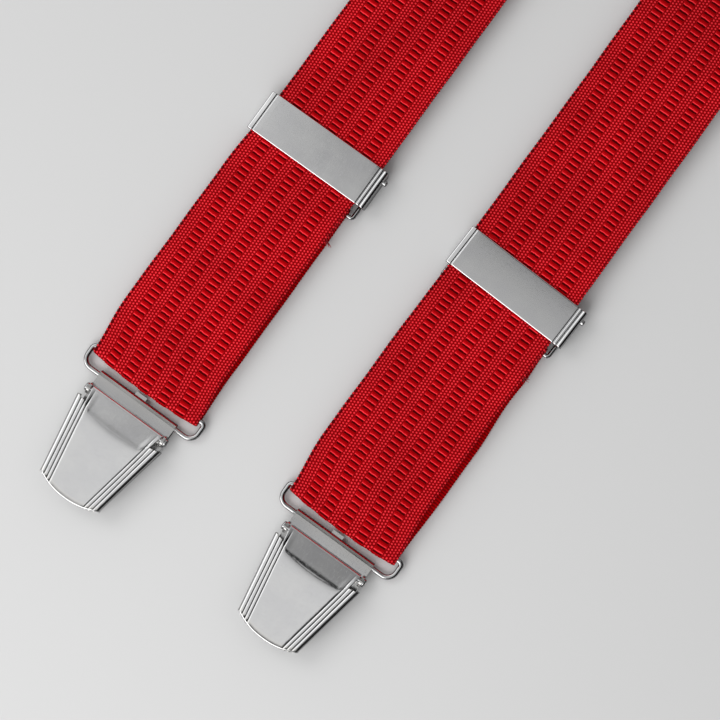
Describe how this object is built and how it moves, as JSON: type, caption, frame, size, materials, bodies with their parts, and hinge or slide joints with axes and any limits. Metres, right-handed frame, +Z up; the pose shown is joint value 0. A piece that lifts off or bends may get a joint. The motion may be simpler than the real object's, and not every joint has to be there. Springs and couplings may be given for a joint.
{
  "type": "suspenders",
  "caption": "X-back trouser suspenders of elastic webbing, folded flat, with sliding strap adjusters, wire loops and lever-locked metal clips.",
  "frame": {"origin": "the centre of the back patch's underside, on the table, where the two straps cross", "axes": "X runs across the two front straps, +Y runs up the front straps from the clips to the shoulder crease, +Z is up from the table"},
  "size_m": [0.3252, 0.6223, 0.0072],
  "materials": {
    "clip_cover_chrome": "polished chrome plate",
    "adjuster_chrome": "polished chrome plate",
    "wire_chrome": "bright plated wire",
    "sheet_nickel": "nickel plated sheet steel",
    "pin_steel": "plated steel rivet",
    "red_webbing": "woven elastic webbing with a ladder pattern",
    "webbing_thread": "sewing thread",
    "patch_leather": "grained leather",
    "patch_thread": "sewing thread"
  },
  "bodies": {
    "strap_set": {"back_patch": "patch_leather", "back_patch_stitching": "patch_thread", "left_shoulder_strap": "red_webbing", "left_rear_stitching": "webbing_thread", "left_strap_front_run": "red_webbing", "right_shoulder_strap": "red_webbing", "right_rear_stitching": "webbing_thread", "right_strap_front_run": "red_webbing"},
    "left_adjuster": {"left_adjuster_cover": "adjuster_chrome", "left_adjuster_pin": "pin_steel", "left_adjuster_bar": "wire_chrome", "left_strap_return_run": "red_webbing", "left_return_stitching": "webbing_thread"},
    "left_adjuster_lock": {"left_adjuster_lever": "sheet_nickel"},
    "left_front_fold": {"left_strap_clip_fold": "red_webbing"},
    "right_adjuster": {"right_adjuster_cover": "adjuster_chrome", "right_adjuster_pin": "pin_steel", "right_adjuster_bar": "wire_chrome", "right_strap_return_run": "red_webbing", "right_return_stitching": "webbing_thread"},
    "right_adjuster_lock": {"right_adjuster_lever": "sheet_nickel"},
    "right_front_fold": {"right_strap_clip_fold": "red_webbing"},
    "front_left_wire_loop": {"front_left_clip_loop": "wire_chrome"},
    "front_left_clip_body": {"front_left_clip_base": "sheet_nickel", "front_left_clip_pin": "pin_steel"},
    "front_left_clip_cover": {"front_left_clip_lever": "clip_cover_chrome"},
    "front_left_clip_jaw_plate": {"front_left_clip_jaw": "sheet_nickel"},
    "rear_left_wire_loop": {"rear_left_clip_loop": "wire_chrome"},
    "rear_left_clip_body": {"rear_left_clip_base": "sheet_nickel", "rear_left_clip_pin": "pin_steel"},
    "rear_left_clip_cover": {"rear_left_clip_lever": "clip_cover_chrome"},
    "rear_left_clip_jaw_plate": {"rear_left_clip_jaw": "sheet_nickel"},
    "front_right_wire_loop": {"front_right_clip_loop": "wire_chrome"},
    "front_right_clip_body": {"front_right_clip_base": "sheet_nickel", "front_right_clip_pin": "pin_steel"},
    "front_right_clip_cover": {"front_right_clip_lever": "clip_cover_chrome"},
    "front_right_clip_jaw_plate": {"front_right_clip_jaw": "sheet_nickel"},
    "rear_right_wire_loop": {"rear_right_clip_loop": "wire_chrome"},
    "rear_right_clip_body": {"rear_right_clip_base": "sheet_nickel", "rear_right_clip_pin": "pin_steel"},
    "rear_right_clip_cover": {"rear_right_clip_lever": "clip_cover_chrome"},
    "rear_right_clip_jaw_plate": {"rear_right_clip_jaw": "sheet_nickel"}
  },
  "joints": [
    {"name": "left_adjuster_slide", "type": "slide", "parent": "strap_set", "child": "left_adjuster", "axis": [0, 1, 0], "range_m": [-0.1, 0.18], "deforming": ["left_strap_front_run"]},
    {"name": "left_adjuster_lock_hinge", "type": "hinge", "parent": "left_adjuster", "child": "left_adjuster_lock", "pos_m": [-0.0327, -0.41526, 0.00275], "axis": [1, 0, 0], "range_deg": [0, 80]},
    {"name": "left_front_clip_travel", "type": "slide", "parent": "left_adjuster", "child": "left_front_fold", "axis": [0, 1, 0], "range_m": [-0.09, 0.05], "deforming": ["left_strap_return_run"]},
    {"name": "right_adjuster_slide", "type": "slide", "parent": "strap_set", "child": "right_adjuster", "axis": [0, 1, 0], "range_m": [-0.1, 0.18], "deforming": ["right_strap_front_run"]},
    {"name": "right_adjuster_lock_hinge", "type": "hinge", "parent": "right_adjuster", "child": "right_adjuster_lock", "pos_m": [0.03282, -0.41417, 0.00275], "axis": [0.9994, -0.0349, 0], "range_deg": [0, 80]},
    {"name": "right_front_clip_travel", "type": "slide", "parent": "right_adjuster", "child": "right_front_fold", "axis": [0, 1, 0], "range_m": [-0.09, 0.05], "deforming": ["right_strap_return_run"]},
    {"name": "front_left_loop_swing", "type": "hinge", "parent": "left_front_fold", "child": "front_left_wire_loop", "pos_m": [-0.0327, -0.49701, 0.00205], "axis": [-1, 0, 0], "range_deg": [-30, 30]},
    {"name": "front_left_clip_swing", "type": "hinge", "parent": "front_left_wire_loop", "child": "front_left_clip_body", "pos_m": [-0.0327, -0.50286, 0.00146], "axis": [-1, 0, 0], "range_deg": [-45, 45]},
    {"name": "front_left_lever_open", "type": "hinge", "parent": "front_left_clip_body", "child": "front_left_clip_cover", "pos_m": [-0.0327, -0.50726, 0.00405], "axis": [-1, 0, 0], "range_deg": [0, 95]},
    {"name": "front_left_jaw_open", "type": "hinge", "parent": "front_left_clip_body", "child": "front_left_clip_jaw_plate", "pos_m": [-0.0327, -0.50511, 0.001], "axis": [-1, 0, 0], "range_deg": [0, 6.65]},
    {"name": "rear_left_loop_swing", "type": "hinge", "parent": "strap_set", "child": "rear_left_wire_loop", "pos_m": [0.14011, -0.34342, 0.00515], "axis": [0.9272, 0.3746, 0], "range_deg": [-30, 30]},
    {"name": "rear_left_clip_swing", "type": "hinge", "parent": "rear_left_wire_loop", "child": "rear_left_clip_body", "pos_m": [0.1423, -0.34885, 0.00574], "axis": [0.9272, 0.3746, 0], "range_deg": [-45, 45]},
    {"name": "rear_left_lever_open", "type": "hinge", "parent": "rear_left_clip_body", "child": "rear_left_clip_cover", "pos_m": [0.14395, -0.35293, 0.00315], "axis": [0.9272, 0.3746, 0], "range_deg": [0, 95]},
    {"name": "rear_left_jaw_open", "type": "hinge", "parent": "rear_left_clip_body", "child": "rear_left_clip_jaw_plate", "pos_m": [0.14314, -0.35093, 0.0062], "axis": [0.9272, 0.3746, 0], "range_deg": [0, 6.65]},
    {"name": "front_right_loop_swing", "type": "hinge", "parent": "right_front_fold", "child": "front_right_wire_loop", "pos_m": [0.0327, -0.49591, 0.00205], "axis": [-1, 0, 0], "range_deg": [-30, 30]},
    {"name": "front_right_clip_swing", "type": "hinge", "parent": "front_right_wire_loop", "child": "front_right_clip_body", "pos_m": [0.0327, -0.50176, 0.00146], "axis": [-1, 0, 0], "range_deg": [-45, 45]},
    {"name": "front_right_lever_open", "type": "hinge", "parent": "front_right_clip_body", "child": "front_right_clip_cover", "pos_m": [0.0327, -0.50616, 0.00405], "axis": [-1, 0, 0], "range_deg": [0, 95]},
    {"name": "front_right_jaw_open", "type": "hinge", "parent": "front_right_clip_body", "child": "front_right_clip_jaw_plate", "pos_m": [0.0327, -0.50401, 0.001], "axis": [-1, 0, 0], "range_deg": [0, 6.65]},
    {"name": "rear_right_loop_swing", "type": "hinge", "parent": "strap_set", "child": "rear_right_wire_loop", "pos_m": [-0.14011, -0.34342, 0.00515], "axis": [0.9272, -0.3746, 0], "range_deg": [-30, 30]},
    {"name": "rear_right_clip_swing", "type": "hinge", "parent": "rear_right_wire_loop", "child": "rear_right_clip_body", "pos_m": [-0.1423, -0.34885, 0.00574], "axis": [0.9272, -0.3746, 0], "range_deg": [-45, 45]},
    {"name": "rear_right_lever_open", "type": "hinge", "parent": "rear_right_clip_body", "child": "rear_right_clip_cover", "pos_m": [-0.14395, -0.35293, 0.00315], "axis": [0.9272, -0.3746, 0], "range_deg": [0, 95]},
    {"name": "rear_right_jaw_open", "type": "hinge", "parent": "rear_right_clip_body", "child": "rear_right_clip_jaw_plate", "pos_m": [-0.14314, -0.35093, 0.0062], "axis": [0.9272, -0.3746, 0], "range_deg": [0, 6.65]}
  ],
  "couplings": [
    {"joint": "left_front_clip_travel", "follows": "left_adjuster_slide", "ratio": -0.5},
    {"joint": "right_front_clip_travel", "follows": "right_adjuster_slide", "ratio": -0.5},
    {"joint": "front_left_jaw_open", "follows": "front_left_lever_open", "ratio": 0.07},
    {"joint": "rear_left_jaw_open", "follows": "rear_left_lever_open", "ratio": 0.07},
    {"joint": "front_right_jaw_open", "follows": "front_right_lever_open", "ratio": 0.07},
    {"joint": "rear_right_jaw_open", "follows": "rear_right_lever_open", "ratio": 0.07}
  ]
}
